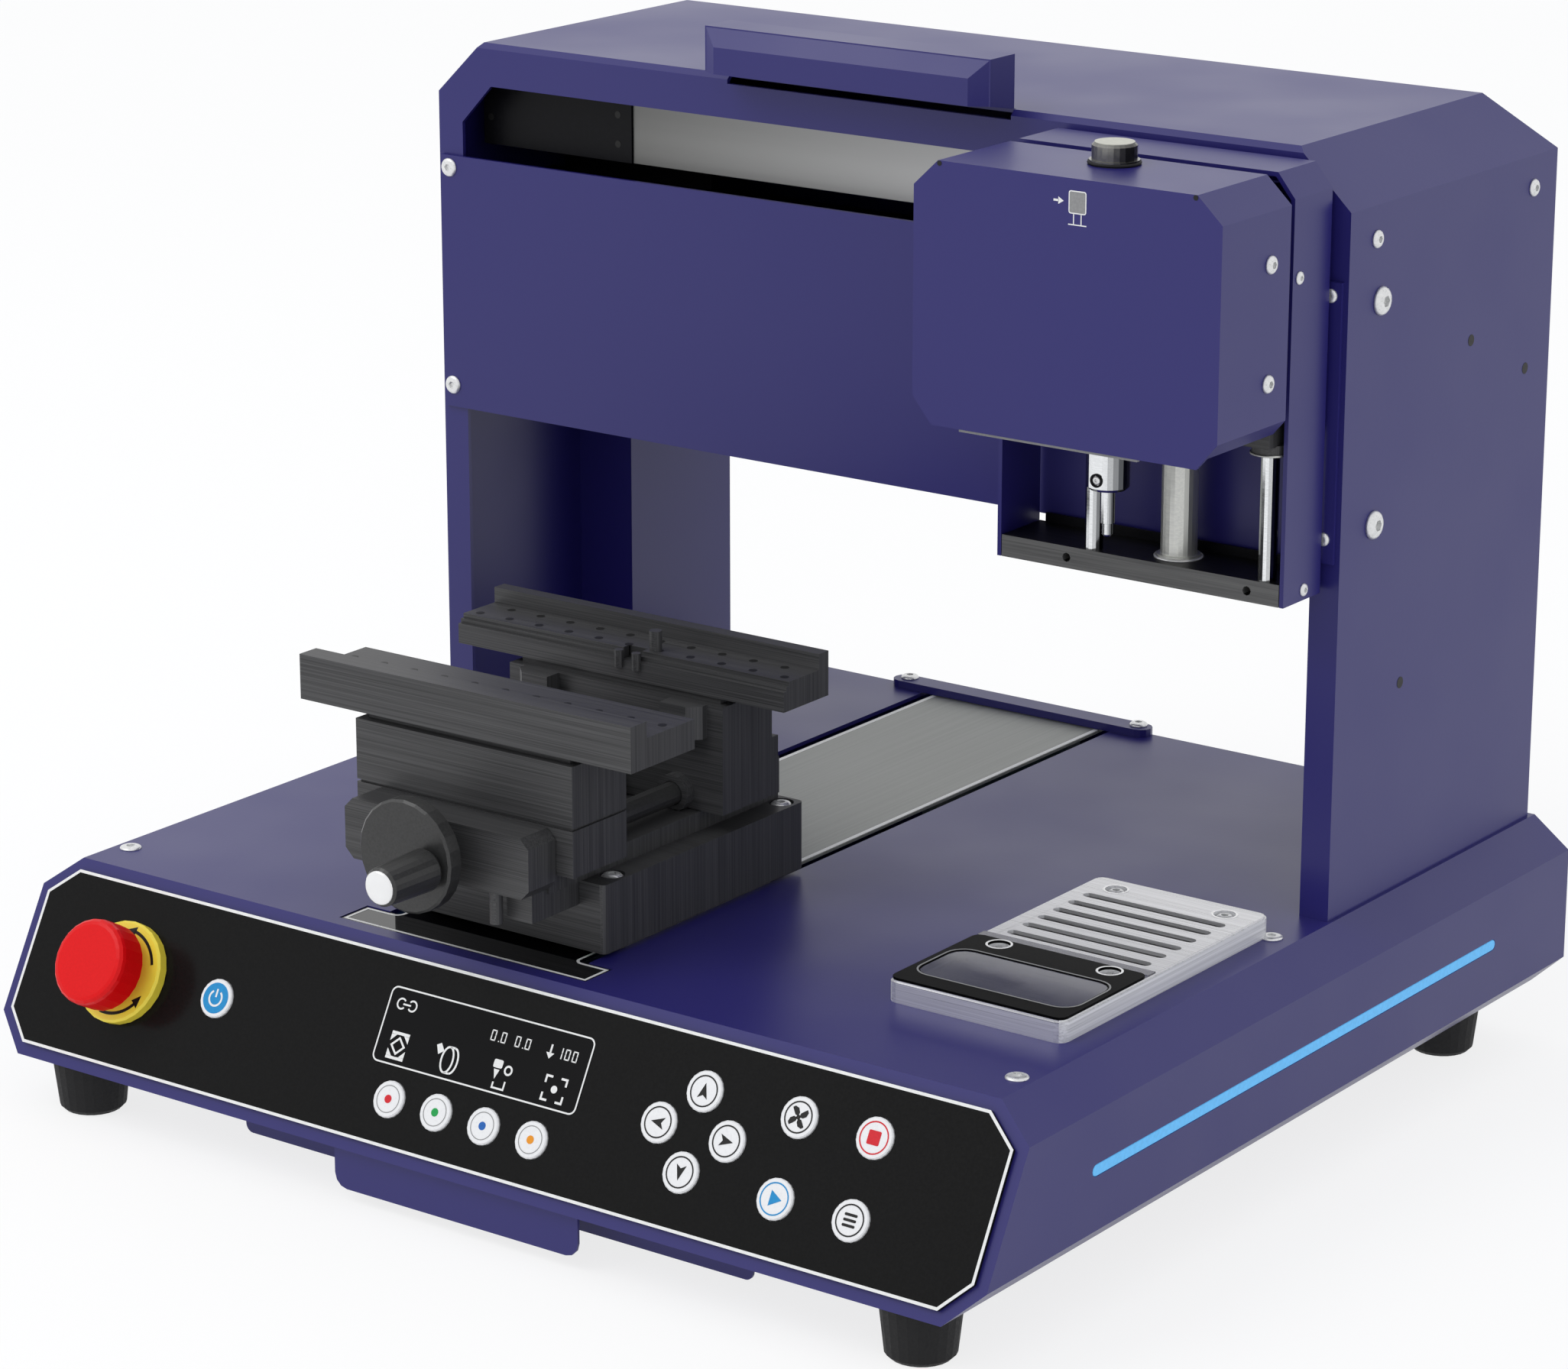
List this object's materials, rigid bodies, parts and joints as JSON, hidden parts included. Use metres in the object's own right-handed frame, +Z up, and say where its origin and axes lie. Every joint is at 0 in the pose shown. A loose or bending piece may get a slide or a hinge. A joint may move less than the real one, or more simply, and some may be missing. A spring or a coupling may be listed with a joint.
{
  "type": "desktop engraving machine",
  "caption": "Bench-top engraving machine: gantry with travelling head and tool, vise on a sliding table, slanted control panel.",
  "frame": {"origin": "on the ground, below the middle of the footprint", "axes": "+Z up, front and control panel face -Y, +X to the right of somebody standing in front"},
  "size_m": [0.41, 0.3874, 0.3597],
  "materials": {
    "blue_sheet": "satin powder coat",
    "black_sheet": "matte black coat",
    "band_sheet": "satin grey",
    "panel_film": "fine matte film",
    "display_glass": "gloss",
    "clear_pane": "gloss",
    "key_white": "satin",
    "stop_red": "satin",
    "stop_yellow": "satin",
    "light_blue": "translucent",
    "rubber": "matte",
    "steel": "ground and plated",
    "aluminium": "satin",
    "brushed_rack": "brushed",
    "black_aluminium": "black anodised, brushed",
    "black_plastic": "fine texture"
  },
  "bodies": {
    "frame": {"base_shell": "blue_sheet", "control_panel": "panel_film", "display_window": "display_glass", "bottom_plate": "blue_sheet", "rear_panel": "black_sheet", "foot_front_left": "rubber", "foot_front_right": "rubber", "foot_rear_left": "rubber", "foot_rear_right": "rubber", "estop_ring": "stop_yellow", "led_left": "light_blue", "led_right": "light_blue", "cover_band_front": "black_sheet", "cover_band_rear": "band_sheet", "band_bracket": "blue_sheet", "y_drive": "black_aluminium", "rack_block": "brushed_rack", "rack_plate": "black_sheet", "rack_window": "clear_pane", "gantry_shell": "blue_sheet", "front_cover": "blue_sheet", "x_guide": "black_aluminium", "x_curtain": "band_sheet", "cable_hood": "blue_sheet"},
    "stop_button": {"estop_button": "stop_red"},
    "power_key": {"key_power": "key_white"},
    "red_key": {"key_red": "key_white"},
    "green_key": {"key_green": "key_white"},
    "blue_key": {"key_blue": "key_white"},
    "orange_key": {"key_orange": "key_white"},
    "up_key": {"key_up": "key_white"},
    "left_key": {"key_left": "key_white"},
    "right_key": {"key_right": "key_white"},
    "down_key": {"key_down": "key_white"},
    "fan_key": {"key_fan": "key_white"},
    "start_key": {"key_start": "key_white"},
    "stop_key": {"key_stop": "key_white"},
    "menu_key": {"key_menu": "key_white"},
    "tray": {"chip_tray": "blue_sheet"},
    "table": {"y_carriage": "black_aluminium", "vise_base": "black_aluminium", "vise_bed": "black_aluminium", "vise_rod_left": "black_aluminium", "vise_rod_right": "black_aluminium"},
    "front_jaw": {"jaw_carriage_front": "black_aluminium", "jaw_front": "black_aluminium"},
    "rear_jaw": {"jaw_carriage_rear": "black_aluminium", "jaw_rear": "black_aluminium"},
    "wheel": {"handwheel": "black_aluminium"},
    "grip": {"crank_grip": "black_aluminium"},
    "carriage": {"x_carriage": "blue_sheet", "z_bottom_plate": "black_aluminium", "guide_rod_left": "steel", "guide_rod_right": "steel", "centre_sleeve": "aluminium"},
    "head": {"head_block": "black_aluminium", "head_cover": "blue_sheet"},
    "knob": {"pressure_knob": "black_plastic"},
    "tool": {"tool_holder": "steel", "tool_bit": "steel"}
  },
  "joints": [
    {"name": "stop_push", "type": "slide", "parent": "frame", "child": "stop_button", "axis": [0, 0.8753, -0.4835], "range_m": [0, 0.004], "stiffness_N_per_m": 1500, "springref_m": -0.002},
    {"name": "power_push", "type": "slide", "parent": "frame", "child": "power_key", "axis": [0, 0.8753, -0.4835], "range_m": [0, 0.0005], "stiffness_N_per_m": 400, "springref_m": -0.0015},
    {"name": "red_push", "type": "slide", "parent": "frame", "child": "red_key", "axis": [0, 0.8753, -0.4835], "range_m": [0, 0.0005], "stiffness_N_per_m": 400, "springref_m": -0.0015},
    {"name": "green_push", "type": "slide", "parent": "frame", "child": "green_key", "axis": [0, 0.8753, -0.4835], "range_m": [0, 0.0005], "stiffness_N_per_m": 400, "springref_m": -0.0015},
    {"name": "blue_push", "type": "slide", "parent": "frame", "child": "blue_key", "axis": [0, 0.8753, -0.4835], "range_m": [0, 0.0005], "stiffness_N_per_m": 400, "springref_m": -0.0015},
    {"name": "orange_push", "type": "slide", "parent": "frame", "child": "orange_key", "axis": [0, 0.8753, -0.4835], "range_m": [0, 0.0005], "stiffness_N_per_m": 400, "springref_m": -0.0015},
    {"name": "up_push", "type": "slide", "parent": "frame", "child": "up_key", "axis": [0, 0.8753, -0.4835], "range_m": [0, 0.0005], "stiffness_N_per_m": 400, "springref_m": -0.0015},
    {"name": "left_push", "type": "slide", "parent": "frame", "child": "left_key", "axis": [0, 0.8753, -0.4835], "range_m": [0, 0.0005], "stiffness_N_per_m": 400, "springref_m": -0.0015},
    {"name": "right_push", "type": "slide", "parent": "frame", "child": "right_key", "axis": [0, 0.8753, -0.4835], "range_m": [0, 0.0005], "stiffness_N_per_m": 400, "springref_m": -0.0015},
    {"name": "down_push", "type": "slide", "parent": "frame", "child": "down_key", "axis": [0, 0.8753, -0.4835], "range_m": [0, 0.0005], "stiffness_N_per_m": 400, "springref_m": -0.0015},
    {"name": "fan_push", "type": "slide", "parent": "frame", "child": "fan_key", "axis": [0, 0.8753, -0.4835], "range_m": [0, 0.0005], "stiffness_N_per_m": 400, "springref_m": -0.0015},
    {"name": "start_push", "type": "slide", "parent": "frame", "child": "start_key", "axis": [0, 0.8753, -0.4835], "range_m": [0, 0.0005], "stiffness_N_per_m": 400, "springref_m": -0.0015},
    {"name": "halt_push", "type": "slide", "parent": "frame", "child": "stop_key", "axis": [0, 0.8753, -0.4835], "range_m": [0, 0.0005], "stiffness_N_per_m": 400, "springref_m": -0.0015},
    {"name": "menu_push", "type": "slide", "parent": "frame", "child": "menu_key", "axis": [0, 0.8753, -0.4835], "range_m": [0, 0.0005], "stiffness_N_per_m": 400, "springref_m": -0.0015},
    {"name": "tray_slide", "type": "slide", "parent": "frame", "child": "tray", "axis": [0, -1, 0], "range_m": [0, 0.11]},
    {"name": "table_slide", "type": "slide", "parent": "frame", "child": "table", "axis": [0, 1, 0], "range_m": [0, 0.15]},
    {"name": "wheel_turn", "type": "hinge", "parent": "table", "child": "wheel", "pos_m": [-0.0265, -0.16, 0.1212], "axis": [0, 1, 0], "range_deg": [0, 1981]},
    {"name": "grip_spin", "type": "hinge", "parent": "wheel", "child": "grip", "pos_m": [-0.016, -0.18, 0.1197], "axis": [0, 1, 0], "continuous": true},
    {"name": "front_jaw_slide", "type": "slide", "parent": "table", "child": "front_jaw", "axis": [0, 1, 0], "range_m": [0, 0.022]},
    {"name": "rear_jaw_slide", "type": "slide", "parent": "table", "child": "rear_jaw", "axis": [0, -1, 0], "range_m": [0, 0.022]},
    {"name": "carriage_slide", "type": "slide", "parent": "frame", "child": "carriage", "axis": [1, 0, 0], "range_m": [-0.25, 0]},
    {"name": "head_slide", "type": "slide", "parent": "carriage", "child": "head", "axis": [0, 0, -1], "range_m": [0, 0.042]},
    {"name": "knob_turn", "type": "hinge", "parent": "head", "child": "knob", "pos_m": [0.129, 0.0026, 0.34], "axis": [0, 0, 1], "range_deg": [-360, 360]},
    {"name": "tool_float", "type": "slide", "parent": "head", "child": "tool", "axis": [0, 0, 1], "range_m": [0, 0.004], "stiffness_N_per_m": 500, "springref_m": -0.004}
  ],
  "couplings": [
    {"joint": "wheel_turn", "follows": "front_jaw_slide", "rad_per_m": 1570.8},
    {"joint": "rear_jaw_slide", "follows": "front_jaw_slide", "ratio": 1}
  ]
}
